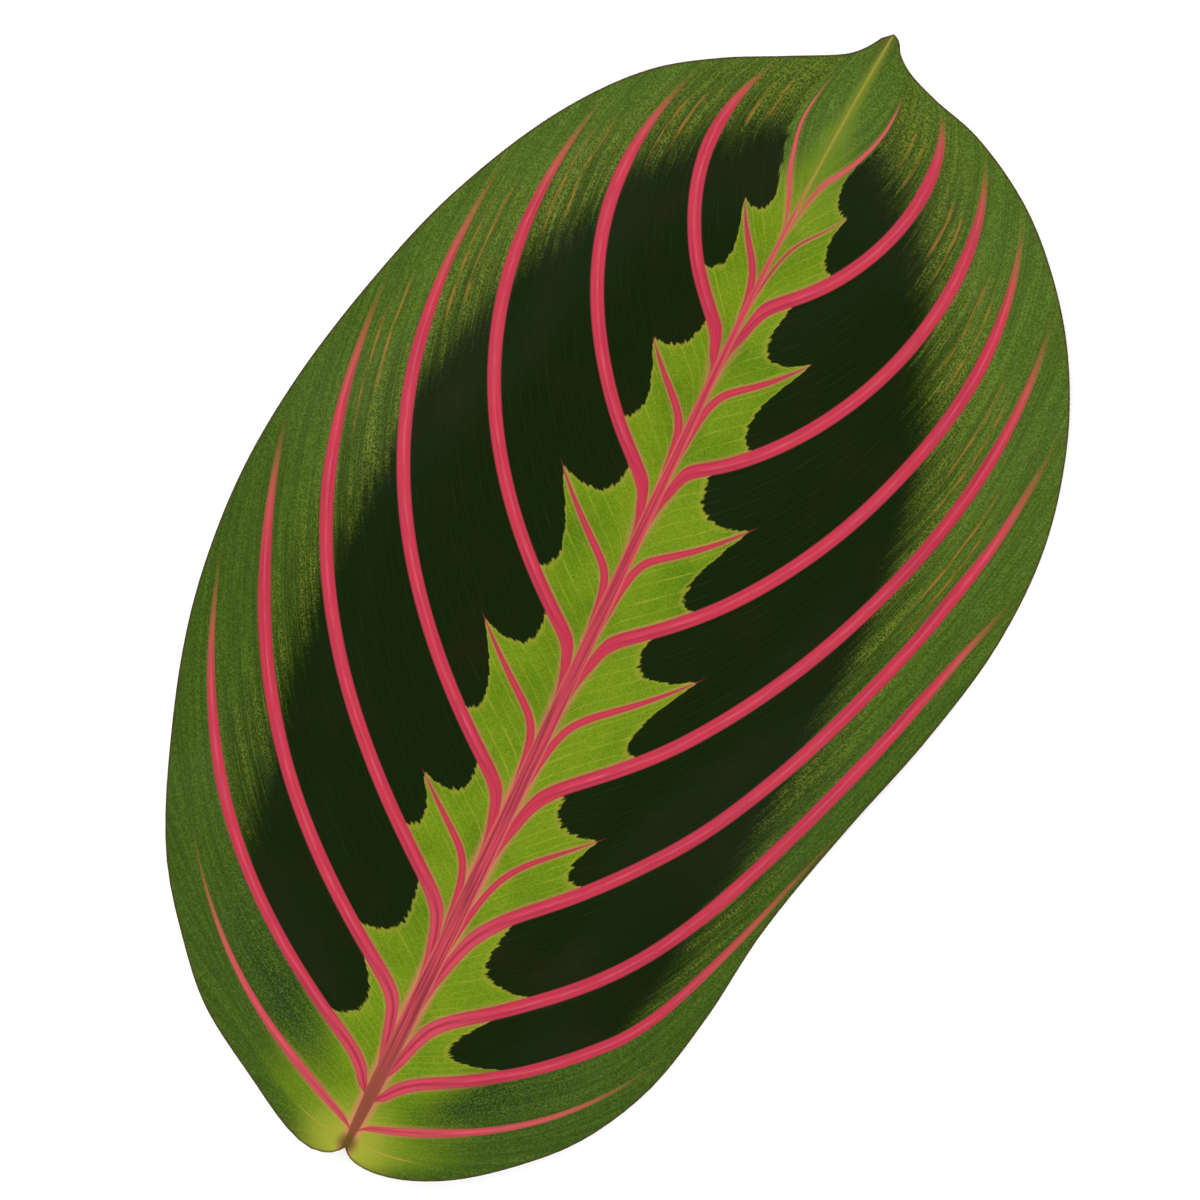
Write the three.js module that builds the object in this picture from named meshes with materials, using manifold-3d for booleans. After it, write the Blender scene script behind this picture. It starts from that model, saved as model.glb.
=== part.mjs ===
// A single picked leaf of a prayer plant, lying face up on a surface.
// Units are millimetres. +Y runs from the stalk joint to the tip, +Z is up.
// Every point of the blade is found from the vein it lies beside and how far out
// along that vein it is, so the facets follow the veins as the real ribs do.

import * as THREE from "three";
import { mergeVertices } from "three/addons/utils/BufferGeometryUtils.js";
import Module from "manifold-3d";

// Blade
const LEAF_LENGTH = 123.8;
const BLADE_THICKNESS = 0.7;
const STEEPEST_UPRIGHT = 0.5;
const NOTCH_Y = -0.5;
const MIDRIB_BOW = -1.1;
const MIDRIB_BOW_SHIFT = 2.4;

// Heights of the lying leaf above the surface, and how far in from the margin they build up
const SPINE_HEIGHT = 3.7;
const SPINE_ARCH = 0.9;
const CREST_RISE = 1.7;
const CREST_OUT = 14;
const MARGIN_FALL = 20;
const STALK_HEIGHT = 3.4;
const TIP_HEIGHT = 1;
const RIM_SINK = 0.9;
const RIM_WAVE = 3.4;
const NOTCH_EASE = 24;
const TIP_EASE = 7;
const LEVEL_REACH = 0.5;
const SETTLE = 0.4;

// Ribs and quilting
const QUILT = 0.4;
const QUILT_TAPER = 0.6;
const QUILT_FULL_WIDTH = 9;
const RIB_TOP = 0.2;
const RIB_UNDER = 0.55;
const SIDE_RIB_UNDER = 0.2;
const RIB_HALF_WIDTH = 0.85;
const RIB_START = 0.1;
const RIB_FADE = 0.5;
const RIB_END = 0.92;
const MIDRIB_TOP = 0.15;
const MIDRIB_UNDER_AT_STALK = 1.5;
const MIDRIB_UNDER_AT_TIP = 0.2;
const MIDRIB_HALF_AT_STALK = 1.15;
const MIDRIB_HALF_AT_TIP = 0.45;
const MIDRIB_REACH_LIMIT = 0.25;
const SHORTEST_PULL = 0.1;

// Where veins run beside the midrib before they part from it
const MERGE_RUN = 3.5;
const MERGE_SHARE = 0.3;
const MERGE_WIDTH = 0.6;

// Cut end of the stalk under the base
const STALK_RADIUS = 1.15;
const STALK_END_Y = -0.3;
const STALK_LENGTH = 9;
const STALK_SIDES = 14;
const STALK_PROFILE = [
  [0, 0], [0.93, 0], [1, 0.02], [1.04, 0.16], [0.9, 0.38], [0.55, 0.7], [0, 1],
];

// How finely the blade is faceted: lines in each strip between two veins, as shares of its
// width with the first and last at the foot of a rib, and facets along each line
const FOOT_SHARE = 0.1;
const MIDDLE_SHARE = 0.5;
const STRIP_LINES = [0, FOOT_SHARE, 0.3, MIDDLE_SHARE, 0.7, 1 - FOOT_SHARE];
const FACETS_ALONG = 18;
const MARGIN_SAMPLES = 24;
const WELD_DISTANCE = 1e-5;

// Each half: its margin from notch to tip as (distance out, distance up), and its veins
// from stalk to tip. A vein has the station where it leaves the midrib, the angle at which
// it leaves, how far round the margin it ends, and the angle at which it gets there.
// Angles are in degrees from the midrib. The first and last line of a half are single
// points at the midrib, where the two margins meet in the notch and in the tip.
const NOTCH_LINE = { root: NOTCH_Y, leave: 128, end: 0, arrive: 136 };
const TIP_LINE = { root: LEAF_LENGTH, leave: 20, arrive: 0 };
const RIGHT = {
  sign: 1,
  margin: [
    [0, NOTCH_Y], [0.9, -1.25], [2.8, -1.6], [6.3, -1], [11.3, 1.4], [16.9, 6], [21, 10.6],
    [24.8, 18], [26.8, 27], [28, 37], [31, 50], [34.3, 62], [36.4, 73], [36.4, 84], [34, 94],
    [30.2, 102], [25.7, 108.2], [19.7, 114], [12.2, 118.2], [6.5, 119.8], [3.2, 121],
    [1.5, 122.2], [0, LEAF_LENGTH],
  ],
  pull: [0.4, 0.3],
  veins: [
    { root: 0.5, leave: 93, end: 17.5, arrive: 64 },
    { root: 2, leave: 75, end: 44, arrive: 14 },
    { root: 7.6, leave: 76, end: 67, arrive: 18 },
    { root: 13.7, leave: 65, end: 95, arrive: 22 },
    { root: 22.6, leave: 50, end: 116, arrive: 0 },
    { root: 37.6, leave: 50, end: 127.5, arrive: -14 },
    { root: 55, leave: 55, end: 138, arrive: -28 },
    { root: 74.5, leave: 60, end: 144.5, arrive: -34 },
    { root: 92.3, leave: 58, end: 150.5, arrive: -38 },
    { root: 104.3, leave: 38, end: 153.6, arrive: -18 },
  ],
  wave: { length: 50, trough: 48 },
};
const LEFT = {
  sign: -1,
  margin: [
    [0, NOTCH_Y], [0.9, -1.5], [2.9, -2.1], [5.6, -1.5], [11.2, 1.4], [18.9, 6], [23.8, 11],
    [29.1, 18], [34.4, 30], [37.9, 42], [39.2, 54], [38.5, 66], [36.2, 78], [32.6, 90],
    [26.6, 102], [20.4, 109.8], [14.7, 113.9], [8.5, 117.2], [3.6, 120], [1.4, 122],
    [0, LEAF_LENGTH],
  ],
  pull: [0.35, 0.45],
  veins: [
    { root: 0.5, leave: 94, end: 21, arrive: 76 },
    { root: 1.6, leave: 69, end: 57, arrive: 25 },
    { root: 7.1, leave: 65, end: 74.5, arrive: 13 },
    { root: 14.2, leave: 59, end: 87, arrive: 12 },
    { root: 23.9, leave: 55, end: 104, arrive: 0 },
    { root: 37.3, leave: 56, end: 120.5, arrive: -10 },
    { root: 53.6, leave: 57, end: 132, arrive: -16 },
    { root: 70.5, leave: 51, end: 141.5, arrive: -24 },
    { root: 87, leave: 47, end: 149, arrive: -31 },
    { root: 102.5, leave: 42, end: 154.6, arrive: -18 },
  ],
  wave: { length: 45, trough: 58 },
};

const lerp = THREE.MathUtils.lerp;
const clamp = THREE.MathUtils.clamp;
const radians = THREE.MathUtils.degToRad;

// The midrib bows slightly to the left, most at three quarters of its length.
function midribX(y) {
  const share = clamp(y / LEAF_LENGTH, 0, 1);
  return MIDRIB_BOW * Math.sin(Math.PI * share ** MIDRIB_BOW_SHIFT);
}

// The margin of a half as a smooth curve, with the length run along it.
function measureMargin(half) {
  const points = half.margin.map(([out, up]) => new THREE.Vector3(out, up, 0));
  const curve = new THREE.CatmullRomCurve3(points, false, "centripetal");
  half.samples = curve.getPoints(MARGIN_SAMPLES * (points.length - 1));
  half.runs = [0];
  for (let i = 1; i < half.samples.length; i += 1) {
    half.runs.push(half.runs[i - 1] + half.samples[i].distanceTo(half.samples[i - 1]));
  }
  half.marginLength = half.runs[half.runs.length - 1];
  half.veins.unshift(NOTCH_LINE);
  half.veins.push({ ...TIP_LINE, end: half.marginLength });
}

function marginPoint(half, run) {
  const wanted = clamp(run, 0, half.marginLength);
  const i = Math.max(half.runs.findIndex((length) => length >= wanted), 1);
  const share = (wanted - half.runs[i - 1]) / (half.runs[i] - half.runs[i - 1]);
  return half.samples[i - 1].clone().lerp(half.samples[i], share);
}

// The line at a share of the strip between a vein and the next one towards the tip.
function lineIn(half, strip, share) {
  const below = half.veins[strip];
  const above = half.veins[Math.min(strip + 1, half.veins.length - 1)];
  const root = lerp(below.root, above.root, share);
  const run = lerp(below.end, above.end, share);
  const leave = radians(lerp(below.leave, above.leave, share));
  const arrive = radians(lerp(below.arrive, above.arrive, share));
  const start = new THREE.Vector3(half.sign * midribX(root), root, 0);
  const finish = marginPoint(half, run);
  const first = half.pull[0] * start.distanceTo(finish);
  const last = half.pull[1] * start.distanceTo(finish);
  const curve = new THREE.CubicBezierCurve3(
    start,
    start.clone().add(new THREE.Vector3(first * Math.sin(leave), first * Math.cos(leave), 0)),
    finish.clone().sub(new THREE.Vector3(last * Math.sin(arrive), last * Math.cos(arrive), 0)),
    finish,
  );
  const midribReach = midribHalfWidth(root) / Math.max(3 * first * Math.sin(leave), SHORTEST_PULL);
  return { root, run, curve, midribReach: Math.min(midribReach, MIDRIB_REACH_LIMIT) };
}

// Both halves meet on the midrib at one station, a little below where their veins part.
function sharedStation(strip, share) {
  const root = Math.min(lineIn(RIGHT, strip, share).root, lineIn(LEFT, strip, share).root);
  return root - Math.min(MERGE_RUN, MERGE_SHARE * Math.min(root - NOTCH_Y, LEAF_LENGTH - root));
}

function midribHalfWidth(y) {
  return lerp(MIDRIB_HALF_AT_STALK, MIDRIB_HALF_AT_TIP, clamp(y / LEAF_LENGTH, 0, 1));
}

// Place in plan of a point at a reach along a line, 0 at the midrib and 1 at the margin.
function planPoint(half, strip, share, reach) {
  const line = lineIn(half, strip, share);
  const place = line.curve.getPoint(reach);
  const fromMidrib = Math.max(place.x - half.sign * midribX(line.root), 0);
  const merge = line.root - sharedStation(strip, share);
  place.y -= merge * Math.exp(-fromMidrib / MERGE_WIDTH);
  return place;
}

// Width of a strip between two veins, measured square to the way they run.
function stripWidth(half, strip, reach) {
  const across = planPoint(half, strip, 1, reach).sub(planPoint(half, strip, 0, reach));
  return across.cross(lineIn(half, strip, MIDDLE_SHARE).curve.getTangent(reach)).length();
}

// A rib's foot lies a fixed distance from its vein, whatever the strip's width there.
function footShare(half, strip, reach) {
  const width = Math.max(stripWidth(half, strip, reach), RIB_HALF_WIDTH);
  return clamp(RIB_HALF_WIDTH / width, FOOT_SHARE / 2, 2 * FOOT_SHARE);
}

// Height of the margin: it waves, and near notch and tip it meets the midrib.
function rimHeight(half, run) {
  const turn = (2 * Math.PI * (run - half.wave.trough)) / half.wave.length;
  const wave = RIM_WAVE * (1 - Math.cos(turn)) / 2 - RIM_SINK;
  const nearNotch = Math.exp(-((run / NOTCH_EASE) ** 2));
  const nearTip = Math.exp(-(((half.marginLength - run) / TIP_EASE) ** 2));
  return lerp(lerp(wave, STALK_HEIGHT, nearNotch), TIP_HEIGHT, nearTip);
}

// The nearest point of a half's margin: how far off it is and how far along the margin.
function nearestMargin(half, out, up) {
  const from = new THREE.Vector3(out, up, 0);
  const away = half.samples.map((sample) => sample.distanceTo(from));
  const nearest = away.indexOf(Math.min(...away));
  const first = Math.max(nearest - 1, 0);
  const last = Math.min(nearest + 1, half.samples.length - 1);
  let distance = Infinity;
  let run = 0;
  for (let i = first; i < last; i += 1) {
    const piece = new THREE.Line3(half.samples[i], half.samples[i + 1]);
    const share = piece.closestPointToPointParameter(from, true);
    const here = piece.at(share, new THREE.Vector3()).distanceTo(from);
    if (here < distance) {
      distance = here;
      run = lerp(half.runs[i], half.runs[i + 1], share);
    }
  }
  return { distance, run };
}

// Height of the smooth blade over a place in plan: from the level of the margins near it,
// it builds up to the midrib and, to either side of the midrib, to a low crest.
function formHeight(x, y) {
  const right = nearestMargin(RIGHT, x, y);
  const left = nearestMargin(LEFT, -x, y);
  const pullRight = (right.distance + LEVEL_REACH) ** -2;
  const pullLeft = (left.distance + LEVEL_REACH) ** -2;
  const level = (rimHeight(RIGHT, right.run) * pullRight + rimHeight(LEFT, left.run) * pullLeft)
    / (pullRight + pullLeft);
  const along = clamp(y / LEAF_LENGTH, 0, 1);
  const fromMidrib = Math.min(Math.abs(x - midribX(y)) / CREST_OUT, 1);
  const inner = SPINE_HEIGHT + SPINE_ARCH * Math.sin(Math.PI * along)
    + CREST_RISE * Math.sin((Math.PI / 2) * fromMidrib);
  const fromMargin = Math.min(right.distance, left.distance) / MARGIN_FALL;
  return lerp(level, inner, (1 - Math.cos(Math.PI * Math.min(fromMargin, 1))) / 2);
}

// The blade bows up a little between each two veins, less where they run close together.
function quiltHeight(half, strip, share, reach) {
  if (strip === 0 || strip >= half.veins.length - 2) return 0;
  const roomy = Math.min(stripWidth(half, strip, reach) / QUILT_FULL_WIDTH, 1);
  return QUILT * roomy * Math.sin(Math.PI * share) * Math.sin(Math.PI * reach) ** QUILT_TAPER;
}

// How far a rib stands out, from 0 to 1: it rises from the midrib and is gone by the margin.
function ribStrength(reach) {
  return Math.min(clamp((RIB_END - reach) / (RIB_END - RIB_FADE), 0, 1), reach / RIB_START);
}

// What would sink below the surface lies flat on it instead.
function settle(z) {
  if (z > SETTLE) return z;
  if (z < -SETTLE) return 0;
  return (z + SETTLE) ** 2 / (4 * SETTLE);
}

// All points of the blade's upper face, row by row from notch to tip on each half.
function gatherPoints() {
  const points = [];
  const rows = [];
  for (let strip = 0; strip < RIGHT.veins.length - 1; strip += 1) {
    for (const share of STRIP_LINES) rows.push({ strip, share });
  }
  rows.push({ strip: RIGHT.veins.length - 1, share: 0 });
  const lastRow = rows.length - 1;
  const ids = [RIGHT, LEFT].map(() => rows.map(() => []));
  rows.forEach(({ strip, share }, row) => {
    [RIGHT, LEFT].forEach((half, side) => {
      const line = lineIn(half, strip, share);
      for (let column = 0; column <= FACETS_ALONG; column += 1) {
        const onPoint = row === 0 || row === lastRow;
        const shared = column === 0 || onPoint;
        if (shared && (side === 1 || (onPoint && column > 0))) {
          ids[side][row].push(ids[0][row][0]);
          continue;
        }
        const reach = column === 0 ? 0
          : lerp(line.midribReach, 1, (column - 1) / (FACETS_ALONG - 1));
        let here = share;
        const foot = column > 0 && strip > 0 ? footShare(half, strip, reach) : FOOT_SHARE;
        if (share === FOOT_SHARE) here = foot;
        if (share === 1 - FOOT_SHARE) here = 1 - foot;
        ids[side][row].push(points.length);
        points.push(bladePoint(half, strip, here, reach, column));
      }
    });
  });
  return { points, ids, lastRow };
}

// One point: its place in plan, the height of the smooth blade there, and its ribs.
function bladePoint(half, strip, share, reach, column) {
  const place = column === 0
    ? new THREE.Vector3(half.sign * midribX(sharedStation(strip, share)), sharedStation(strip, share), 0)
    : planPoint(half, strip, share, reach);
  const smooth = formHeight(half.sign * place.x, place.y) + quiltHeight(half, strip, share, reach);
  const along = clamp(place.y / LEAF_LENGTH, 0, 1);
  let ribTop = 0;
  let ribUnder = 0;
  if (column === 0) {
    ribTop = MIDRIB_TOP * (1 - along);
    ribUnder = lerp(MIDRIB_UNDER_AT_STALK, MIDRIB_UNDER_AT_TIP, along);
  } else if (share === 0 && strip > 1 && strip < half.veins.length - 1) {
    ribTop = RIB_TOP * ribStrength(reach);
    ribUnder = RIB_UNDER * ribStrength(reach);
  } else if (share === MIDDLE_SHARE && strip > 1) {
    ribUnder = SIDE_RIB_UNDER * ribStrength(reach);
  }
  return { x: half.sign * place.x, y: place.y, smooth, ribTop, ribUnder };
}

// Triangles of the upper face, the same for the lower one, which is turned over. Each
// four-sided facet is split along its shorter diagonal.
function gatherTriangles(points, ids, lastRow) {
  const triangles = [];
  const apart = (a, b) => Math.hypot(points[a].x - points[b].x, points[a].y - points[b].y);
  const add = (a, b, c) => {
    if (a !== b && b !== c && c !== a) triangles.push([a, b, c]);
  };
  ids.forEach((grid, side) => {
    for (let row = 0; row < lastRow; row += 1) {
      for (let column = 0; column < FACETS_ALONG; column += 1) {
        const a = grid[row][column];
        const b = grid[row][column + 1];
        const c = grid[row + 1][column + 1];
        const d = grid[row + 1][column];
        const corners = side === 0 ? [a, b, c, d] : [a, d, c, b];
        if (apart(a, c) > apart(b, d)) corners.push(corners.shift());
        add(corners[0], corners[1], corners[2]);
        add(corners[0], corners[2], corners[3]);
      }
    }
  });
  return triangles;
}

// The upward share of the smooth blade's slope at each point.
function uprightness(points, triangles) {
  const sheet = new THREE.BufferGeometry();
  const places = points.flatMap((point) => [point.x, point.y, point.smooth]);
  sheet.setAttribute("position", new THREE.Float32BufferAttribute(places, 3));
  sheet.setIndex(triangles.flat());
  sheet.computeVertexNormals();
  return points.map((point, i) => Math.max(sheet.attributes.normal.getZ(i), STEEPEST_UPRIGHT));
}

// The blade as one closed body: upper face, lower face and the thin rim between them.
function makeBlade() {
  const { points, ids, lastRow } = gatherPoints();
  const triangles = gatherTriangles(points, ids, lastRow);
  const upright = uprightness(points, triangles);
  const upper = [];
  const lower = [];
  points.forEach((point, i) => {
    const under = point.smooth - BLADE_THICKNESS / upright[i];
    const settled = settle(under);
    upper.push(point.x, point.y, point.smooth + point.ribTop + settled - under);
    lower.push(point.x, point.y, Math.max(settled - point.ribUnder, 0));
  });
  const count = points.length;
  const faces = triangles.flatMap(([a, b, c]) => [a, b, c, count + a, count + c, count + b]);
  ids.forEach((grid, side) => {
    for (let row = 0; row < lastRow; row += 1) {
      const near = grid[row][FACETS_ALONG];
      const far = grid[row + 1][FACETS_ALONG];
      const [a, b] = side === 0 ? [near, far] : [far, near];
      faces.push(a, count + a, count + b, a, count + b, b);
    }
  });
  const blade = new THREE.BufferGeometry();
  blade.setAttribute("position", new THREE.Float32BufferAttribute([...upper, ...lower], 3));
  blade.setIndex(faces);
  return blade;
}

// The cut end of the stalk, a short round stump under the base that thins into the midrib.
function makeStalkEnd() {
  const profile = STALK_PROFILE
    .map(([radius, along]) => new THREE.Vector2(radius * STALK_RADIUS, along * STALK_LENGTH));
  const stump = new THREE.LatheGeometry(profile, STALK_SIDES);
  const centre = STALK_HEIGHT - BLADE_THICKNESS / 2 - STALK_RADIUS;
  stump.translate(0, STALK_END_Y, centre);
  return stump;
}

function toSolid(wasm, geometry) {
  const bare = new THREE.BufferGeometry();
  bare.setAttribute("position", geometry.attributes.position);
  bare.setIndex(geometry.index);
  const welded = mergeVertices(bare, WELD_DISTANCE);
  const kept = [];
  const index = welded.index.array;
  for (let i = 0; i < index.length; i += 3) {
    const [a, b, c] = [index[i], index[i + 1], index[i + 2]];
    if (a !== b && b !== c && c !== a) kept.push(a, b, c);
  }
  return new wasm.Manifold(new wasm.Mesh({
    numProp: 3,
    vertProperties: new Float32Array(welded.attributes.position.array),
    triVerts: new Uint32Array(kept),
  }));
}

function toGeometry(solid) {
  const mesh = solid.getMesh();
  const geometry = new THREE.BufferGeometry();
  geometry.setAttribute("position", new THREE.BufferAttribute(mesh.vertProperties, 3));
  geometry.setIndex(new THREE.BufferAttribute(mesh.triVerts, 1));
  geometry.computeVertexNormals();
  return geometry;
}

[RIGHT, LEFT].forEach(measureMargin);
const wasm = await Module();
wasm.setup();
const whole = toSolid(wasm, makeBlade()).add(toSolid(wasm, makeStalkEnd()));
const leafGeometry = toGeometry(whole);

// The origin is the middle of the leaf's box, at the surface it lies on.
leafGeometry.computeBoundingBox();
const middle = leafGeometry.boundingBox.getCenter(new THREE.Vector3());
leafGeometry.translate(-middle.x, -middle.y, -leafGeometry.boundingBox.min.z);

const leafGreen = new THREE.MeshStandardMaterial({ color: 0x3d5a1e, roughness: 0.5, metalness: 0 });
const leaf = new THREE.Mesh(leafGeometry, leafGreen);
leaf.name = "leaf";

const plantPart = new THREE.Group();
plantPart.add(leaf);

export default plantPart;
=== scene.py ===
# A single picked leaf of a prayer plant, lying face up, dressed over its solid. Lengths are
# in millimetres until a mesh is made. As in the solid, each point of the blade is found from
# the vein beside it and how far out along that vein it is, and the colours follow the same
# veins, so the pattern and the relief can't part.

import math

import bpy
import numpy as np
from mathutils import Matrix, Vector, kdtree


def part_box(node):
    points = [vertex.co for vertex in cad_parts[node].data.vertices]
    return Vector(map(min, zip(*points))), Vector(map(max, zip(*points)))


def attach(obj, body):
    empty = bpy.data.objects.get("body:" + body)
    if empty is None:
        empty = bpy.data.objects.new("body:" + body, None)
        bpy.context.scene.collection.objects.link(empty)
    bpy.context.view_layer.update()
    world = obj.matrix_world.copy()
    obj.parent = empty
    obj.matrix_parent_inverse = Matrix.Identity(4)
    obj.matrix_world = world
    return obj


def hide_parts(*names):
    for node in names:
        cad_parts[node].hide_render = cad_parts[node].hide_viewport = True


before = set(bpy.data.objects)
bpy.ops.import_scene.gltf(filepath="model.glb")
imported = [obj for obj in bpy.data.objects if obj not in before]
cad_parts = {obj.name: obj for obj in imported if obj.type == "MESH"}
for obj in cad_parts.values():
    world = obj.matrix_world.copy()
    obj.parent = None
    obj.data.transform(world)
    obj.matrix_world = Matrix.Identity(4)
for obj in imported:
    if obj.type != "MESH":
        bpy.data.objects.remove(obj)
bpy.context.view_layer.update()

MM = 0.001

# Blade, as in the solid
LEAF_LENGTH = 123.8
BLADE_THICKNESS = 0.7
NOTCH_Y = -0.5
MIDRIB_BOW = -1.1
MIDRIB_BOW_SHIFT = 2.4

# Heights of the lying leaf, as in the solid
SPINE_HEIGHT = 3.7
SPINE_ARCH = 0.9
CREST_RISE = 1.7
CREST_OUT = 14
MARGIN_FALL = 20
STALK_HEIGHT = 3.4
TIP_HEIGHT = 1
RIM_SINK = 0.9
RIM_WAVE = 3.4
NOTCH_EASE = 24
TIP_EASE = 7
LEVEL_REACH = 0.5
SETTLE = 0.4
STEEPEST_UPRIGHT = 0.5

# Ribs and quilting, as in the solid
QUILT = 0.4
QUILT_TAPER = 0.6
QUILT_FULL_WIDTH = 9
RIB_TOP = 0.2
RIB_UNDER = 0.55
SIDE_RIB_UNDER = 0.2
RIB_HALF_WIDTH = 0.85
RIB_START = 0.1
RIB_FADE = 0.5
RIB_END = 0.92
MIDRIB_TOP = 0.15
MIDRIB_UNDER = (1.5, 0.2)
MIDRIB_HALF = (1.15, 0.45)
MERGE_RUN = 3.5
MERGE_SHARE = 0.3
MERGE_WIDTH = 0.6

# Cut end of the stalk: (share of its radius, share of its length) from the cut inwards.
# The blade's own keel begins over it. The cut faces this way or more, and edges that turn
# by less than these angles are shaded smooth.
STALK_RADIUS = 1.15
STALK_LENGTH = 9
STALK_END_Y = -0.3
STALK_LEVEL = 1.9
STALK_SIDES = 32
KEEL_START = (NOTCH_Y, 3)
CUT_FACING = -0.9
STALK_SMOOTH = 40
BLADE_SMOOTH = 60
STALK_PROFILE = (
    (0.93, 0), (1, 0.02), (1.04, 0.16), (0.98, 0.28), (0.9, 0.38), (0.75, 0.54), (0.55, 0.7),
    (0.3, 0.86), (0.02, 1),
)

# Steps along a vein's line in mm, and how close to it, in vein numbers, its width is taken
# from the slope instead
LINE_STEP = 0.1
LINE_CLOSE = 0.02

# The fresh blade thins to this at its margin, over this distance
MARGIN_THICKNESS = 0.35
MARGIN_THINNING = 5

# How finely the blade is woven: lines in each strip, with the strip's middle vein at
# MIDDLE_LINE, steps out from the midrib in mm, and further steps to the margin
MIDDLE_LINE = 0.46
STRIP_LINES = (
    0, 0.035, 0.07, 0.11, 0.17, 0.24, 0.32, 0.39, MIDDLE_LINE, 0.53, 0.6, 0.68, 0.76,
    0.83, 0.89, 0.93, 0.965,
)
TIP_LINES = (0.975, 0.983, 0.99, 0.995)
NEAR_STEPS = (
    0, 0.2, 0.4, 0.52, 0.64, 0.74, 0.84, 0.95, 1.07, 1.2, 1.35, 1.55, 1.8, 2.1, 2.5, 3,
)
NEAR_REACH_LIMIT = 0.25
FAR_STEPS = 78
MARGIN_SAMPLES = 24

# Each half: margin points (out, up), and veins as (station on the midrib, angle at which it
# leaves, how far round the margin it ends, angle at which it gets there), notch to tip.
RIGHT = {
    "sign": 1,
    "margin": [
        (0, NOTCH_Y), (0.9, -1.25), (2.8, -1.6), (6.3, -1), (11.3, 1.4), (16.9, 6),
        (21, 10.6), (24.8, 18), (26.8, 27), (28, 37), (31, 50), (34.3, 62), (36.4, 73),
        (36.4, 84), (34, 94), (30.2, 102), (25.7, 108.2), (19.7, 114), (12.2, 118.2),
        (6.5, 119.8), (3.1, 121.1), (1.5, 122.3), (0.95, 123.2), (0.5, 123.6), (0, LEAF_LENGTH),
    ],
    "pull": (0.4, 0.3),
    "veins": [
        (0.5, 93, 17.5, 64), (2, 75, 44, 14), (7.6, 76, 67, 18), (13.7, 65, 95, 22),
        (22.6, 50, 116, 0), (37.6, 50, 127.5, -14), (55, 55, 138, -28), (74.5, 60, 144.5, -34),
        (92.3, 58, 150.5, -38), (104.8, 38, 155.0, -16),
    ],
    "wave": (50, 48),
}
LEFT = {
    "sign": -1,
    "margin": [
        (0, NOTCH_Y), (0.9, -1.5), (2.9, -2.1), (5.6, -1.5), (11.2, 1.4), (18.9, 6),
        (23.8, 11), (29.1, 18), (34.4, 30), (37.9, 42), (39.2, 54), (38.5, 66), (36.2, 78),
        (32.6, 90), (26.6, 102), (20.4, 109.8), (14.7, 113.9), (8.5, 117.2), (3.2, 120.1),
        (1.9, 121.4), (1.3, 122.3), (0.9, 122.95), (0.45, 123.35), (0, LEAF_LENGTH),
    ],
    "pull": (0.35, 0.45),
    "veins": [
        (0.5, 94, 21, 76), (1.6, 69, 57, 25), (7.1, 65, 74.5, 13), (14.2, 59, 87, 12),
        (23.9, 55, 104, 0), (37.3, 56, 120.5, -10), (53.6, 57, 132, -16), (70.5, 51, 141.5, -24),
        (87, 47, 149, -31), (103.1, 41, 156.2, -17),
    ],
    "wave": (45, 58),
}
NOTCH_LINE = (NOTCH_Y, 128, 0, 136)
TIP_LINE_LEAVE = 20

# Colour pattern. Veins are numbered from 0, the notch, through 1, the faint lowest vein, and
# 2 to 9, the bold ones, to 10, the small vein by the tip, and 11, the tip.
FIRST_BOLD, LAST_BOLD, SMALL_TIP_VEIN, TIP = 2, 9, 10, 11

# Bold veins run down beside the midrib before they part from it: at HUG_OUT from the
# midrib's edge they have come down by the hug drop, which dies out over the hug fade, both
# given at stations up the midrib. They come down by HUG_MOST at most, by less where the
# midrib is thinner than STOUT_SPINE, with LEAST_STOUT of it left, and by less within
# HUG_ROOM of the notch. Veins count as LEAST_PITCH apart or more.
HUG_OUT = 0.12
HUG_STATIONS = (6, 20, 40, 60, 100)
RIGHT["hug drop"] = (6, 4.6, 3.6, 2.9, 2.8)
RIGHT["hug fade"] = (1, 1.1, 0.78, 0.5, 0.38)
LEFT["hug drop"] = (4.4, 3.2, 2.8, 2.6, 2.4)
LEFT["hug fade"] = (0.9, 0.75, 0.65, 0.5, 0.38)
HUG_MOST = 8
STOUT_SPINE = 0.85
LEAST_STOUT = 0.3
LEAST_PITCH = 4
HUG_ROOM = 10

# Where a vein strays from its even course: (reach, share of a strip towards the tip)
RIGHT["stray"] = {
    2: ((0.2, -0.01), (0.3, -0.035), (0.5, -0.06)),
    3: (
        (0.05, -0.05), (0.1, 0), (0.2, 0.02), (0.3, -0.03), (0.4, -0.15), (0.5, -0.3),
        (0.6, -0.36), (0.7, -0.22), (0.85, -0.02), (0.95, 0.05),
    ),
    4: ((0.05, -0.01), (0.15, 0.04), (0.3, 0), (0.4, 0.03), (0.5, 0.15), (0.6, 0.2), (0.8, 0.12)),
    5: ((0.05, 0.05), (0.1, 0.03), (0.3, -0.03), (0.55, 0.06), (0.7, 0), (0.8, -0.06)),
    6: ((0.05, 0.03), (0.2, -0.02), (0.5, 0.03), (0.8, -0.03)),
    7: ((0.05, 0.01), (0.2, -0.01), (0.5, 0), (0.7, -0.05)),
    8: ((0.1, -0.03), (0.5, -0.04), (0.9, -0.04)),
    9: ((0.1, 0), (0.3, -0.02), (0.5, -0.036), (0.8, -0.05)),
    10: ((0.1, 0.05), (0.2, 0.015), (0.4, -0.02), (0.6, -0.05)),
}
LEFT["stray"] = {
    2: ((0.2, -0.01), (0.3, -0.04), (0.5, -0.06)),
    5: ((0.1, 0.01), (0.5, 0.02), (0.8, 0.02)),
    8: ((0.05, 0.025), (0.2, 0)),
    9: ((0.05, 0.04), (0.3, 0)),
    10: ((0.4, 0.01), (0.6, -0.04)),
}

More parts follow.
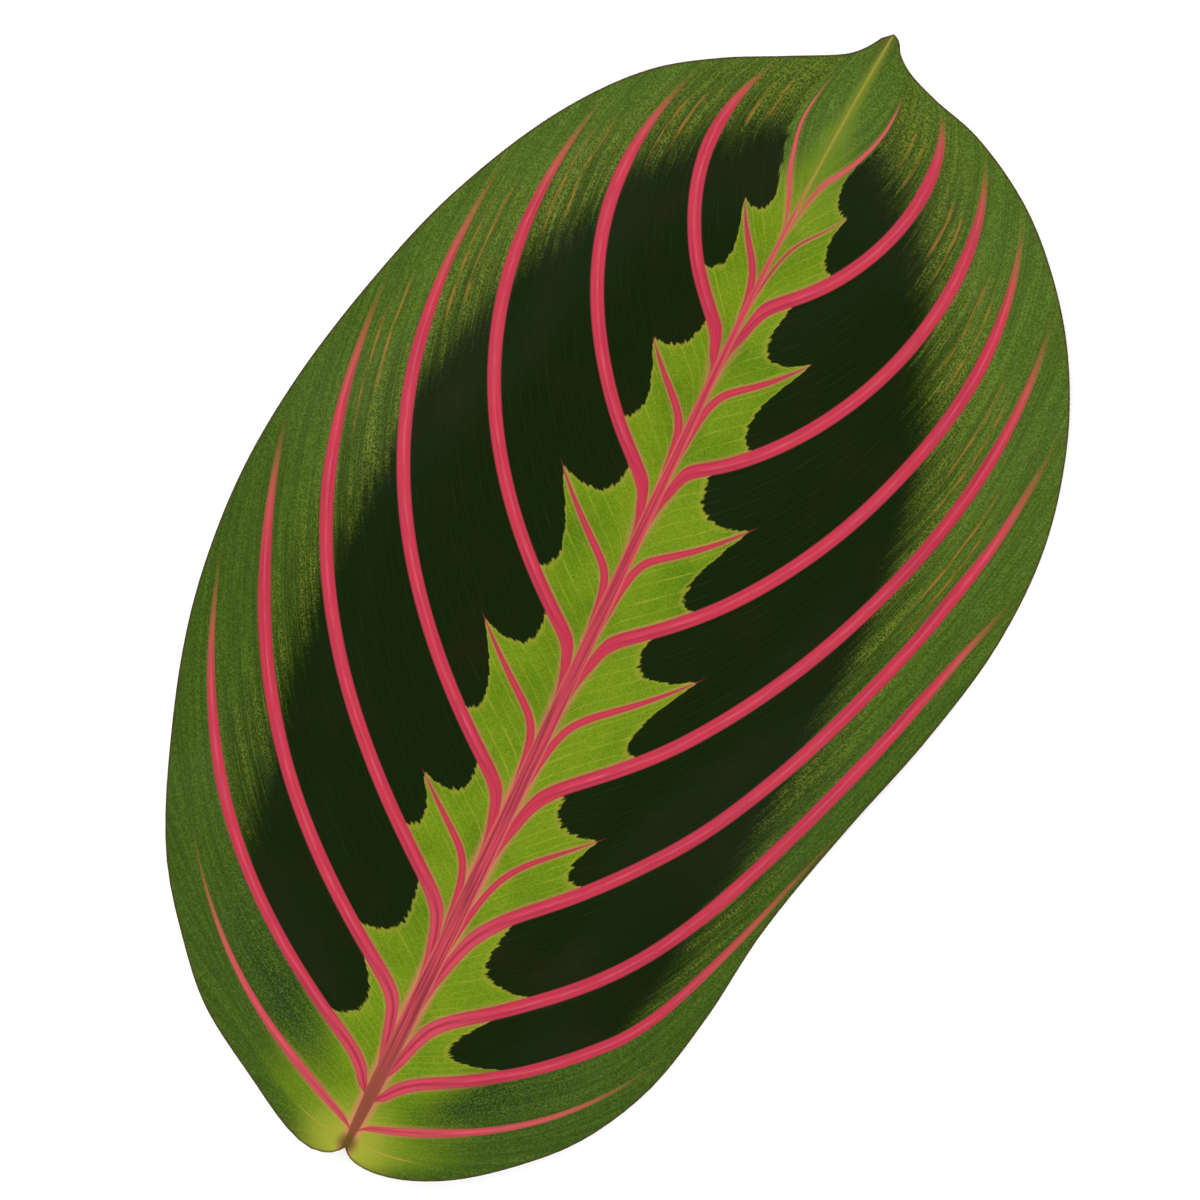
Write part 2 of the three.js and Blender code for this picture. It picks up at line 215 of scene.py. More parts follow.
# A stray is read at this many even reaches and smoothed over so many of them
STRAY_SAMPLES = 101
STRAY_SOFTNESS = 15

# Half widths of the veins' colour in mm: a bold one's, the same one's while it is within
# HUGGING_OUT of the midrib, and those that differ. Within JOINT_TAPER of the notch they
# come down to JOINT_SHARE of it.
BOLD_HALF = 0.68
HUGGING_HALF = 0.38
HUGGING_OUT = (-0.1, 1.1)
VEIN_HALF = {1: 0.1, 2: 0.44, 3: 0.6, SMALL_TIP_VEIN: 0.22}
JOINT_TAPER = 8
JOINT_SHARE = 0.5
# Half width and patch depth where there is no vein and no patch
NOTHING_NEAR = -9.0
NO_PATCH = -30.0

# The reaches between which each vein fades out, and how it thins there: the share of its
# width that it loses, and the bend of the loss
VEIN_THINNING = (0.85, 1.15)
BOLD_ENDS = (0.7, 0.98)
RIGHT["ends"] = {1: (0.05, 0.5), 2: (0.1, 0.85), 3: (0.52, 0.93), SMALL_TIP_VEIN: (0.4, 0.9)}
LEFT["ends"] = {1: (0.05, 0.4), 2: (0.2, 0.75), 3: (0.6, 0.94), SMALL_TIP_VEIN: (0.32, 0.95)}

# Short orange dashes outside the patches: places across a strip, half width in mm, the
# reaches between which they lie, and over how much reach they come and go
DASH_PLACES = (0.3, 0.52)
DASH_WIDTH = 0.16
DASH_EASE = 0.05
RIGHT["dashes"] = (0.58, 0.8)
LEFT["dashes"] = (0.68, 0.9)

# Half width of the midrib's colour at stations along it, in mm
SPINE_STATIONS = (0, 2, 6, 12, 30, 60, 85, 96, 108, 124)
SPINE_HALVES = (0.3, 0.5, 0.7, 0.82, 0.82, 0.66, 0.44, 0.28, 0.11, 0.08)

# Thin veins in the middle of the upper strips: strip, then place across it, reach of its
# point, and half width in mm. How it thins: how far beyond its point, bend and sink.
SIDE_BEYOND = 0.01
SIDE_BEND = 1.8
SIDE_SINK = 0.1
RIGHT["middle"] = {
    5: (0.43, 0.15, 0.3), 6: (0.475, 0.21, 0.36), 7: (0.475, 0.22, 0.38),
    8: (0.475, 0.26, 0.36), 9: (0.5, 0.33, 0.11),
}
LEFT["middle"] = {
    5: (0.43, 0.175, 0.36), 6: (0.475, 0.22, 0.38), 7: (0.475, 0.26, 0.38),
    8: (0.475, 0.26, 0.38), 9: (0.5, 0.37, 0.34),
}

# Black-green patches: for each strip the edge near the midrib as (place across, reach),
# dip, fingertip, dip and so on, and the reach of the far edge at the strip's two veins.
RIGHT["patches"] = {
    3: ([(0.02, 0.24), (0.55, 0.073), (1, 0.13)], (0.46, 0.38)),
    4: ([(0, 0.17), (0.6, 0.062), (1, 0.08)], (0.39, 0.42)),
    5: ([(0, 0.17), (0.25, 0.116), (0.43, 0.14), (0.9, 0.064), (1, 0.07)], (0.42, 0.5)),
    6: ([(0, 0.16), (0.2, 0.124), (0.475, 0.195), (0.85, 0.086), (1, 0.1)], (0.5, 0.53)),
    7: ([(0, 0.17), (0.19, 0.12), (0.475, 0.2), (0.9, 0.083), (1, 0.09)], (0.55, 0.53)),
    8: ([(0, 0.17), (0.22, 0.128), (0.475, 0.25), (0.74, 0.108), (1, 0.17)], (0.57, 0.58)),
    9: ([(0, 0.28), (0.3, 0.23), (0.5, 0.31), (0.75, 0.25), (0.95, 0.31)], (0.56, 0.5)),
}
LEFT["patches"] = {
    3: ([(0, 0.15), (0.58, 0.08), (1, 0.15)], (0.42, 0.48)),
    4: ([(0, 0.18), (0.62, 0.08), (1, 0.1)], (0.5, 0.55)),
    5: ([(0, 0.18), (0.25, 0.13), (0.43, 0.165), (0.83, 0.082), (1, 0.1)], (0.54, 0.57)),
    6: ([(0, 0.17), (0.21, 0.13), (0.475, 0.2), (0.85, 0.098), (1, 0.11)], (0.62, 0.62)),
    7: ([(0, 0.18), (0.21, 0.14), (0.475, 0.24), (0.9, 0.104), (1, 0.11)], (0.66, 0.64)),
    8: ([(0, 0.2), (0.25, 0.157), (0.475, 0.25), (0.92, 0.133), (1, 0.14)], (0.72, 0.66)),
    9: ([(0, 0.3), (0.31, 0.207), (0.5, 0.36), (0.8, 0.215), (0.9, 0.25)], (0.66, 0.6)),
}
FINGER_ROUNDNESS = 2.2
RIGHT["top limit"] = 0.94
LEFT["top limit"] = 0.87

# Soft dark shading without a clear edge in the strip below the lowest patch:
# reaches where it starts, is deepest and ends, and how deep
RIGHT["shading"] = (0.06, 0.2, 0.55, 0.9)
LEFT["shading"] = (0.06, 0.24, 0.6, 0.95)

# Lime colour: for each vein number the reaches between which it turns green
LIME_FADE = [
    (0, 0.3, 1.2), (1, 0.12, 0.8), (1.5, 0.05, 0.45), (2.5, 0.03, 0.2), (3, 0.08, 0.25),
    (4, 0.1, 0.3), (9, 0.2, 0.45), (9.6, 0.25, 0.5), (10, 0.1, 0.42), (10.5, 0.02, 0.3),
    (11, 0.02, 0.7),
]


def midrib_x(y):
    """The midrib bows slightly to the left, most at three quarters of its length."""
    share = np.clip(y / LEAF_LENGTH, 0, 1)
    return MIDRIB_BOW * np.sin(np.pi * share**MIDRIB_BOW_SHIFT)


def search_tree(points):
    """Finds the nearest of many places in plan."""
    tree = kdtree.KDTree(len(points))
    for i, (x, y) in enumerate(points):
        tree.insert((x, y, 0), i)
    tree.balance()
    return tree


def measure_half(half):
    """The margin as close points with the run to each, and the veins as columns of numbers."""
    corners = np.array(half["margin"], float)
    ends = np.vstack([2 * corners[0] - corners[1], corners, 2 * corners[-1] - corners[-2]])
    share = np.linspace(0, 1, MARGIN_SAMPLES, endpoint=False)[:, None]
    pieces = []
    for before, here, there, after in zip(ends, ends[1:], ends[2:], ends[3:]):
        pairs = ((before, here), (here, there), (there, after))
        gap_in, gap, gap_out = gaps = [math.sqrt(math.dist(a, b)) for a, b in pairs]
        way_in, way, way_out = ((b - a) / g for (a, b), g in zip(pairs, gaps))
        leaving = (way_in - (there - before) / (gap_in + gap) + way) * gap
        coming = (way - (after - here) / (gap + gap_out) + way_out) * gap
        pieces.append(
            here
            + leaving * share
            + (-3 * here + 3 * there - 2 * leaving - coming) * share**2
            + (2 * here - 2 * there + leaving + coming) * share**3
        )
    half["samples"] = np.vstack(pieces + [corners[-1:]])
    steps = np.linalg.norm(np.diff(half["samples"], axis=0), axis=1)
    half["runs"] = np.concatenate([[0], np.cumsum(steps)])
    last = (LEAF_LENGTH, TIP_LINE_LEAVE, half["runs"][-1], 0)
    half["table"] = np.array([NOTCH_LINE, *half["veins"], last], float)
    half["tree"] = search_tree(half["samples"])


def vein_values(half, number):
    """The veins' four numbers, between veins in proportion."""
    return [np.interp(number, np.arange(TIP + 1), column) for column in half["table"].T]


def station(half, number):
    return vein_values(half, number)[0]


def shared_station(number):
    """Both halves meet on the midrib at one place, a little below where their veins part."""
    root = np.minimum(station(RIGHT, number), station(LEFT, number))
    room = np.minimum(root - NOTCH_Y, LEAF_LENGTH - root)
    return root - np.minimum(MERGE_RUN, MERGE_SHARE * room)


def guide_points(half, number):
    """The four points that steer the line at each vein number."""
    root, leave, run, arrive = vein_values(half, number)
    start = np.stack([half["sign"] * midrib_x(root), root], -1)
    finish = np.stack([np.interp(run, half["runs"], line) for line in half["samples"].T], -1)
    chord = np.linalg.norm(finish - start, axis=-1)[..., None]
    leave, arrive = np.radians(leave), np.radians(arrive)
    first = start + half["pull"][0] * chord * np.stack([np.sin(leave), np.cos(leave)], -1)
    last = finish - half["pull"][1] * chord * np.stack([np.sin(arrive), np.cos(arrive)], -1)
    return start, first, last, finish


def place_on(half, number, reach):
    """Place in plan, and the way that the line runs there, at a reach along a line."""
    start, first, last, finish = guide_points(half, number)
    t, u = reach[..., None], 1 - reach[..., None]
    place = u**3 * start + 3 * u**2 * t * first + 3 * u * t**2 * last + t**3 * finish
    way = u**2 * (first - start) + 2 * u * t * (last - first) + t**2 * (finish - last)
    from_midrib = np.maximum(place[..., 0] - start[..., 0], 0)
    merge = (start[..., 1] - shared_station(number)) * (1 - reach)
    place[..., 1] -= merge * np.exp(-from_midrib / MERGE_WIDTH)
    return place, way / np.maximum(np.linalg.norm(way, axis=-1)[..., None], 1e-9)


def nearest_margin(half, out, up):
    """Distance to a half's margin, and how far along the margin that is."""
    samples, runs = half["samples"], half["runs"]
    here = np.stack([out, up], -1)
    found = np.array([half["tree"].find((x, y, 0))[1] for x, y in here.reshape(-1, 2)])
    found = found.reshape(out.shape)
    distance = np.full(out.shape, np.inf)
    run = np.zeros(out.shape)
    for i in (np.maximum(found - 1, 0), np.minimum(found, len(runs) - 2)):
        piece = samples[i + 1] - samples[i]
        share = np.clip(((here - samples[i]) * piece).sum(-1) / (piece**2).sum(-1), 0, 1)
        gap = np.linalg.norm(samples[i] + share[..., None] * piece - here, axis=-1)
        closer = gap < distance
        distance = np.where(closer, gap, distance)
        run = np.where(closer, runs[i] + share * (runs[i + 1] - runs[i]), run)
    return distance, run


def rim_height(half, run):
    """Height of the margin: it waves, and near notch and tip it meets the midrib."""
    length, trough = half["wave"]
    wave = RIM_WAVE * (1 - np.cos(2 * np.pi * (run - trough) / length)) / 2 - RIM_SINK
    near_notch = np.exp(-((run / NOTCH_EASE) ** 2))
    near_tip = np.exp(-(((half["runs"][-1] - run) / TIP_EASE) ** 2))
    wave += (STALK_HEIGHT - wave) * near_notch
    return wave + (TIP_HEIGHT - wave) * near_tip


def form_height(x, y):
    """Height of the smooth blade over a place in plan, and how far the margin is."""
    level = weight = 0
    nearest = np.full(x.shape, np.inf)
    for half in (RIGHT, LEFT):
        distance, run = nearest_margin(half, half["sign"] * x, y)
        pull = (distance + LEVEL_REACH) ** -2
        level = level + rim_height(half, run) * pull
        weight = weight + pull
        nearest = np.minimum(nearest, distance)
    level = level / weight
    along = np.clip(y / LEAF_LENGTH, 0, 1)
    from_midrib = np.minimum(np.abs(x - midrib_x(y)) / CREST_OUT, 1)
    inner = SPINE_HEIGHT + SPINE_ARCH * np.sin(np.pi * along)
    inner = inner + CREST_RISE * np.sin(np.pi / 2 * from_midrib)
    rise = (1 - np.cos(np.pi * np.minimum(nearest / MARGIN_FALL, 1))) / 2
    return level + (inner - level) * rise, nearest


def settle(z):
    """What would sink below the surface lies flat on it instead."""
    soft = (z + SETTLE) ** 2 / (4 * SETTLE)
    return np.where(z > SETTLE, z, np.where(z < -SETTLE, 0, soft))


def smooth_step(value, low, high):
    share = np.clip((value - low) / (high - low), 0, 1)
    return share * share * (3 - 2 * share)


def swell(distance, half_width):
    """Cross-section of a rounded rib, 1 on its line and 0 from its foot on."""
    return (1 - np.clip(np.abs(distance) / half_width, 0, 1) ** 2) ** 2


def plan_steepness(field, x, y):
    """How fast a field changes for each millimetre in plan, on a grid of points."""
    x_down, x_along = np.gradient(x)
    y_down, y_along = np.gradient(y)
    down, along = np.gradient(field)
    area = x_down * y_along - x_along * y_down
    area = np.where(np.abs(area) < 1e-7, 1e-7, area)
    over_x = (down * y_along - along * y_down) / area
    over_y = (along * x_down - down * x_along) / area
    return np.hypot(over_x, over_y)


def true_width(number, here, place, x, y, width):
    """Puts right the width that one unit of vein number has round a line, so that it gives
    the true distance to the line also where the line bends sharply beside the midrib."""
    line = []
    for column in range(number.shape[1]):
        counts = number[:, column]
        if counts[0] < place < counts[-1]:
            line.append([np.interp(place, counts, field[:, column]) for field in (x, y)])
    line = np.array(line)
    runs = np.concatenate([[0], np.cumsum(np.linalg.norm(np.diff(line, axis=0), axis=1))])
    even = np.arange(0, runs[-1], LINE_STEP)
    tree = search_tree(np.stack([np.interp(even, runs, line[:, k]) for k in (0, 1)], -1))
    away = np.abs(number - place)
    spots = np.argwhere(here & (away > LINE_CLOSE))
    for row, column in spots.tolist():
        distance = tree.find((x[row, column], y[row, column], 0))[2]
        width[row, column] = distance / away[row, column]


def near_edge(points, across):
    """Reach at which a patch starts: rounded fingers between dips."""
    reach = np.full(across.shape, points[0][1])
    for i, ((from_place, from_reach), (to_place, to_reach)) in enumerate(zip(points, points[1:])):
        tip_first = i % 2 == 1
        share = np.clip((across - from_place) / (to_place - from_place), 0, 1)
        share = share if tip_first else 1 - share
        tip, dip = (from_reach, to_reach) if tip_first else (to_reach, from_reach)
        inside = across >= from_place
        reach = np.where(inside, tip + (dip - tip) * share**FINGER_ROUNDNESS, reach)
    return reach


def weave_half(half):
    """Grids of everything known about one half of the blade: rows are lines from the midrib
    to the margin, from notch to tip, and columns are steps out along them."""
    lines = []
    for strip in range(TIP):
        middle = half["middle"].get(strip, (MIDDLE_LINE, 0))[0]
        for share in STRIP_LINES + (TIP_LINES if strip == TIP - 1 else ()):
            place = np.interp(share, (0, MIDDLE_LINE, 1), (0, middle, 1))
            lines.append((strip, place, strip + share))
    lines.append((TIP - 1, 1, TIP))
    strip, share, common = map(np.array, zip(*lines))
    start, first, *_ = guide_points(half, strip + share)
    outward = np.maximum(3 * (first - start)[:, 0], 1e-3)
    near = np.array(NEAR_STEPS)
    near_reach = np.minimum(near / outward[:, None], NEAR_REACH_LIMIT * near / near[-1])
    far = np.linspace(0, 1, FAR_STEPS + 1)[1:]
    far_reach = near_reach[:, -1:] + (1 - near_reach[:, -1:]) * far
    reach = np.hstack([near_reach, far_reach])
    across = np.broadcast_to(share[:, None], reach.shape)
    strip = np.broadcast_to(strip[:, None], reach.shape)
    strays = np.zeros((TIP + 1, *reach.shape))
    even = np.linspace(0, 1, STRAY_SAMPLES)
    soft = np.hanning(STRAY_SOFTNESS)
    for vein, points in half["stray"].items():
        stray = np.pad(np.interp(even, *zip((0, 0), *points)), STRAY_SOFTNESS // 2, "edge")
        strays[vein] = np.interp(reach, even, np.convolve(stray, soft / soft.sum(), "valid"))
    rows, columns = np.indices(reach.shape)
    lower = strip + strays[strip, rows, columns]
    upper = strip + 1 + strays[strip + 1, rows, columns]
    number = np.clip((1 - across) * lower + across * upper, 0, TIP)
    place, below, above = (place_on(half, n, reach)[0] for n in (number, lower, upper))
    gap, way = above - below, place_on(half, (lower + upper) / 2, reach)[1]
    strip_width = np.abs(gap[..., 0] * way[..., 1] - gap[..., 1] * way[..., 0])
    place[:, 0, 1] = shared_station(common)
    place[:, 0, 0] = half["sign"] * midrib_x(place[:, 0, 1])
    x, y = half["sign"] * place[..., 0], place[..., 1]
    steps = np.hypot(np.diff(x, axis=1), np.diff(y, axis=1))
    along = np.hstack([np.zeros((len(x), 1)), np.cumsum(steps, axis=1)])
    return dict(
        x=x, y=y, reach=reach, strip=strip, across=across, number=number, along=along,
        course=strip + across, strip_width=strip_width, from_midrib=np.abs(x - midrib_x(y)),
    )


def raise_half(half, grid):
    """Heights of the upper and lower face."""
    x, y, reach, strip = grid["x"], grid["y"], grid["reach"], grid["strip"]
    smooth, from_margin = form_height(x, y)
    quilted = (strip > 0) & (strip < TIP - 1)
    roomy = np.minimum(grid["strip_width"] / QUILT_FULL_WIDTH, 1)
    bow = np.sin(np.pi * grid["across"]) * np.sin(np.pi * np.minimum(reach, 1)) ** QUILT_TAPER
    smooth = smooth + np.where(quilted, QUILT * roomy * bow, 0)
    slope = plan_steepness(smooth, x, y)
    upright = np.maximum(1 / np.sqrt(1 + slope**2), STEEPEST_UPRIGHT)
    along = np.clip(y / LEAF_LENGTH, 0, 1)
    bold = np.clip((RIB_END - reach) / (RIB_END - RIB_FADE), 0, 1)
    bold = np.minimum(bold, reach / RIB_START)
    course = grid["course"]
    nearest = np.round(course)
    ribbed = (nearest >= FIRST_BOLD) & (nearest <= SMALL_TIP_VEIN)
    rib = swell((course - nearest) * grid["strip_width"], RIB_HALF_WIDTH)
    rib = np.where(ribbed, rib * bold, 0)
    middle = MIDDLE_LINE + 0 * reach
    for number, (place, _, _) in half["middle"].items():
        middle = np.where(strip == number, place, middle)
    side = (grid["across"] - middle) * grid["strip_width"]
    side = np.where(strip > 1, swell(side, RIB_HALF_WIDTH) * bold, 0)
    spine_half = MIDRIB_HALF[0] + (MIDRIB_HALF[1] - MIDRIB_HALF[0]) * along
    spine_under = MIDRIB_UNDER[0] + (MIDRIB_UNDER[1] - MIDRIB_UNDER[0]) * along
    spine = np.clip(grid["from_midrib"] / spine_half, 0, 1)
    keel = np.sqrt(1 - spine**2) * spine_under * smooth_step(y, *KEEL_START)
    top = RIB_TOP * rib + MIDRIB_TOP * (1 - along) * swell(spine, 1)
    under = np.maximum(np.maximum(RIB_UNDER * rib, SIDE_RIB_UNDER * side), keel)
    base = settle(smooth - BLADE_THICKNESS / upright)
    thin = smooth_step(from_margin, 0, MARGIN_THINNING)
    thickness = MARGIN_THICKNESS + (BLADE_THICKNESS - MARGIN_THICKNESS) * thin
    grid["upper"] = base + thickness / upright + top
    grid["lower"] = np.maximum(base - under, 0)
    grid["from_margin"] = from_margin


# What each point of the blade tells the paint, three values to an attribute
MARKS = {
    "flow": ("number", "along", "width"),
    "veins": ("vein_half", "fade", "lime"),
    "sides": ("side_half", "side_place", "dash_window"),
    "edges": ("patch_in", "patch_out", "from_margin"),
    "spine": ("spine_gap", "beside", "up"),
    "tones": ("course", "shade", "side_width"),
}


def colour_half(half, grid):
    """Places, widths and distances in millimetres for the paint to follow."""
    x, y, reach = grid["x"], grid["y"], grid["reach"]
    strip, across = grid["strip"], grid["across"]
    from_midrib = grid["from_midrib"]
    pitch = np.maximum(np.gradient(station(half, np.arange(TIP + 1.0))), LEAST_PITCH)
    pitch = np.interp(grid["course"], np.arange(TIP + 1), pitch)
    spine_half = np.interp(y, SPINE_STATIONS, SPINE_HALVES)
    from_spine = from_midrib - spine_half
    stout = np.clip(spine_half / STOUT_SPINE, LEAST_STOUT, 1)
    drop = np.interp(y, HUG_STATIONS, half["hug drop"])
    dying = np.interp(y, HUG_STATIONS, half["hug fade"])
    hug = drop * np.exp(-(from_spine - HUG_OUT) / dying)
    hug = np.minimum(hug, HUG_MOST) * stout * smooth_step(y, 0, HUG_ROOM)
    merged = MERGE_RUN * np.exp(-from_midrib / MERGE_WIDTH)
    number = np.minimum(grid["course"] + np.maximum(hug - merged, 0) / pitch, TIP)
    width = 1 / np.maximum(plan_steepness(number, x, y), 1e-3)
    side_width = width.copy()
    nearest = np.round(number)
    vein_half = np.full(x.shape, NOTHING_NEAR)
    fade = np.zeros(x.shape)
    for vein in range(1, TIP):
        here = nearest == vein
        true_width(number, here, vein, x, y, width)
        full = VEIN_HALF.get(vein, BOLD_HALF)
        fade_from, end = half["ends"].get(vein, BOLD_ENDS)
        tail = np.clip((reach - fade_from) / (end - fade_from), 0, 1)
        lost, bend = VEIN_THINNING
        vein_half = np.where(here, full * (1 - lost * tail**bend), vein_half)
        fade = np.where(here, tail, fade)
    parted = smooth_step(from_spine, *HUGGING_OUT)
    hugging = HUGGING_HALF / BOLD_HALF * stout
    vein_half *= hugging + (1 - hugging) * parted
    from_joint = np.hypot(from_midrib, y - NOTCH_Y)
    vein_half *= JOINT_SHARE + (1 - JOINT_SHARE) * smooth_step(from_joint, 0, JOINT_TAPER)

    side_place = np.full(x.shape, 0.5)
    side_half = np.full(x.shape, NOTHING_NEAR)
    dash_window = np.zeros(x.shape)
    for middle_strip, (place, point, full) in half["middle"].items():
        here = np.floor(number) == middle_strip
        true_width(number, here, middle_strip + place, x, y, side_width)
        tail = np.minimum(reach / (point + SIDE_BEYOND), 1.5)
        taper = full * (1 - np.minimum(tail, 1) ** SIDE_BEND) - SIDE_SINK * tail**4
        side_place = np.where(here, place, side_place)
        side_half = np.where(here, taper, side_half)
        begin, end = half["dashes"]
        window = smooth_step(reach, begin, begin + DASH_EASE)
        window = window * smooth_step(reach, end, end - DASH_EASE)
        dash_window = np.where(here, window, dash_window)

    length = grid["along"][:, -1:]
    patch_in = np.full(x.shape, NO_PATCH)
    patch_out = np.full(x.shape, NO_PATCH)
    for patch_strip, (points, (far_below, far_above)) in half["patches"].items():
        here = strip == patch_strip
        start = (reach - near_edge(points, across)) * length
        if patch_strip == LAST_BOLD:
            start = np.minimum(start, (half["top limit"] - across) * grid["strip_width"])
        far = far_below + (far_above - far_below) * across
        patch_in = np.where(here, start, patch_in)
        patch_out = np.where(here, (far - reach) * length, patch_out)
    knots, *fades = np.array(LIME_FADE).T
    lime = 1 - smooth_step(reach, *(np.interp(grid["number"], knots, fade) for fade in fades))
    starts, deepest, ends, depth = half["shading"]
    shade = np.interp(reach, (starts, deepest, ends), (0, depth, 0))
    shade = np.where(strip == FIRST_BOLD, shade * np.sin(np.pi * across) ** 0.5, 0)
    grid.update(
        number=number, width=width, vein_half=vein_half, fade=fade, lime=lime,
        side_half=side_half, side_place=side_place, side_width=side_width,
        dash_window=dash_window, patch_in=patch_in, patch_out=patch_out, shade=shade,
        spine_gap=-from_spine, beside=x - midrib_x(y), up=y,
    )


def assemble_blade(grids):
    """The blade as one closed mesh: upper face, lower face and the thin rim between them.
    A sheet that follows its own veins can't be had from a primitive, so it is woven."""
    rows, columns = grids[0]["x"].shape
    ids = np.arange(2 * rows * columns).reshape(2, rows, columns)
    ids[1, :, 0] = ids[0, :, 0]
    ids[:, 0, :] = ids[0, 0, 0]
    ids[:, -1, :] = ids[0, -1, 0]
    total = ids.size
    quads, rims = [], []
    for side in (0, 1):
        near, far = ids[side, :-1], ids[side, 1:]
        corners = [near[:, :-1], near[:, 1:], far[:, 1:], far[:, :-1]]
        rim = [near[:, -1], far[:, -1]]
        if side == 1:
            corners.reverse()
            rim.reverse()
        quads.append(np.stack([c.ravel() for c in corners], -1))
        a, b = rim
        rims.append(np.stack([a, a + total, b + total, b], -1))
    quads = np.vstack(quads)
    faces = np.vstack([quads, quads[:, ::-1] + total, *rims])
    used, faces = np.unique(faces, return_inverse=True)

    def joined(upper, lower):
        """A value of every point in use, on the upper face and on the lower one."""
        sides = (grid[name].ravel() for name in (upper, lower) for grid in grids)
        return np.concatenate(list(sides))[used]

    points = np.stack([joined("x", "x"), joined("y", "y"), joined("upper", "lower")], -1)
    outlines = []
    for face in faces.reshape(-1, 4).tolist():
        outlines.append([v for i, v in enumerate(face) if v != face[i - 1]])
    kept = [i for i, outline in enumerate(outlines) if len(outline) > 2]
    under = range(len(quads), 2 * len(quads))
    mesh = bpy.data.meshes.new("leaf_blade")
    mesh.from_pydata(points.tolist(), [], [outlines[i] for i in kept])
    mesh.update()
    mesh.polygons.foreach_set("material_index", [int(i in under) for i in kept])
    for name, parts in MARKS.items():
        values = np.stack([joined(part, part) for part in parts], -1)
        mark = mesh.attributes.new(name, "FLOAT_VECTOR", "POINT")
        mark.data.foreach_set("vector", values.astype(np.float32).ravel())
    return mesh, used < total


def read_all(items, name, kind, size):
    """One property of all of a mesh's points, corners or faces."""
    values = np.empty(len(items) * size, kind)
    items.foreach_get(name, values)
    return values.reshape(-1, size).squeeze()


def centre_blade(mesh):
    """Brings the mesh from the leaf's own axes into the frame, in metres."""
    points = read_all(mesh.vertices, "co", float, 3)
    middle = (points[:, 0].max() + points[:, 0].min()) / 2
    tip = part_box("leaf")[1].y / MM
    shift = np.array([-middle, tip - LEAF_LENGTH, 0])
    mesh.vertices.foreach_set("co", ((points + shift) * MM).ravel())
    mesh.update()
    return shift


# The map for the colours that a game or web viewer gets: both faces side by side in one
# square, the upper one larger
MAP_EDGE = 0.006
UPPER_SCALE = 0.985
LOWER_SCALE = 0.63
RIM_OUTSET = 1.006


def lay_out_map(mesh, on_top):
    low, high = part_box("leaf")
    size = high - low
    corners = read_all(mesh.loops, "vertex_index", np.int64, 1)
    slots = read_all(mesh.polygons, "material_index", np.int32, 1)
    under = np.repeat(slots, read_all(mesh.polygons, "loop_total", np.int32, 1)) == 1
    place = read_all(mesh.vertices, "co", float, 3)[corners]
    outset = np.where(~on_top[corners] & ~under, RIM_OUTSET, 1)[:, None]
    place = place[:, :2] * outset
    along = (place[:, 1] - low.y) / size.y
    across = (place[:, 0] - low.x) / size.y
    shown = UPPER_SCALE * (size.x / size.y) + 2 * MAP_EDGE
    upper = np.stack([MAP_EDGE + UPPER_SCALE * along, MAP_EDGE + UPPER_SCALE * across], -1)
    lower = np.stack([MAP_EDGE + LOWER_SCALE * along, shown + LOWER_SCALE * across], -1)
    spots = np.where(under[:, None], lower, upper).astype(np.float32).ravel()
    for name in ("LeafMap", "OFBake"):
        mesh.uv_layers.new(name=name).data.foreach_set("uv", spots)


def linear(hex_colour):
    """An sRGB hex colour as the shader wants it."""
    values = [int(hex_colour[i : i + 2], 16) / 255 for i in (1, 3, 5)]
    return (*(v / 12.92 if v <= 0.04045 else ((v + 0.055) / 1.055) ** 2.4 for v in values), 1)


MATH = "ShaderNodeMath"
RANGE = "ShaderNodeMapRange"
MIX = "ShaderNodeMix"
NOISE = "ShaderNodeTexNoise"
MARK = "ShaderNodeAttribute"
PARTS = "ShaderNodeSeparateXYZ"
POINT = "ShaderNodeCombineXYZ"
MAPPING = "ShaderNodeMapping"
PLACE = "ShaderNodeTexCoord"
BUMP = "ShaderNodeBump"
VECTORS = "ShaderNodeVectorMath"

# Settings that many nodes share
TIMES = {"operation": "MULTIPLY"}
TIMES_PLUS = {"operation": "MULTIPLY_ADD"}
LESS = {"operation": "SUBTRACT"}
LARGER = {"operation": "MAXIMUM"}
TO_AND_FRO = {"operation": "PINGPONG"}
SIZE = {"operation": "ABSOLUTE"}
SOFTLY = {"interpolation_type": "SMOOTHSTEP"}
COLOURS = {"data_type": "RGBA"}
SHADES = {"data_type": "RGBA", "blend_type": "MULTIPLY"}
# A colour mix: its sockets for the two colours, and where the mixed one comes out
ONE, OTHER, MIXED = 6, 7, 2


def feed(tree, node, feeds):
    """Links or sets a node's sockets, in their order or by number or name. Hex colours are
    turned linear on the way."""
    for socket, value in feeds.items() if isinstance(feeds, dict) else enumerate(feeds):
        if isinstance(value, bpy.types.NodeSocket):
            tree.links.new(value, node.inputs[socket])
        else:
            value = linear(value) if isinstance(value, str) else value
            node.inputs[socket].default_value = value


def add(tree, kind, settings, feeds, result=0):
    """Adds a node with its settings and links, and gives back what comes out."""
    made = tree.nodes.new(kind)
    for name, value in settings.items():
        setattr(made, name, value)
    feed(tree, made, feeds)
    return made.outputs[result]


def strength(tree, *factors):
    """How strong a coat is: the product of its factors. One in brackets is a soft change
    from 0 to 1, or between two other values given last, while something goes between two
    values: (something, from, to)."""
    product = None
    for factor in factors:
        if isinstance(factor, tuple):
            factor = add(tree, RANGE, SOFTLY, factor)
        product = factor if product is None else add(tree, MATH, TIMES, (product, factor))
    return product


def lay_coats(tree, colour, *coats):
    """Lays coats over a colour, each given as its colour and the factors of its strength."""
    for over, *factors in coats:
        sockets = {0: strength(tree, *factors), ONE: colour, OTHER: over}
        colour = add(tree, MIX, COLOURS, sockets, MIXED)
    return colour


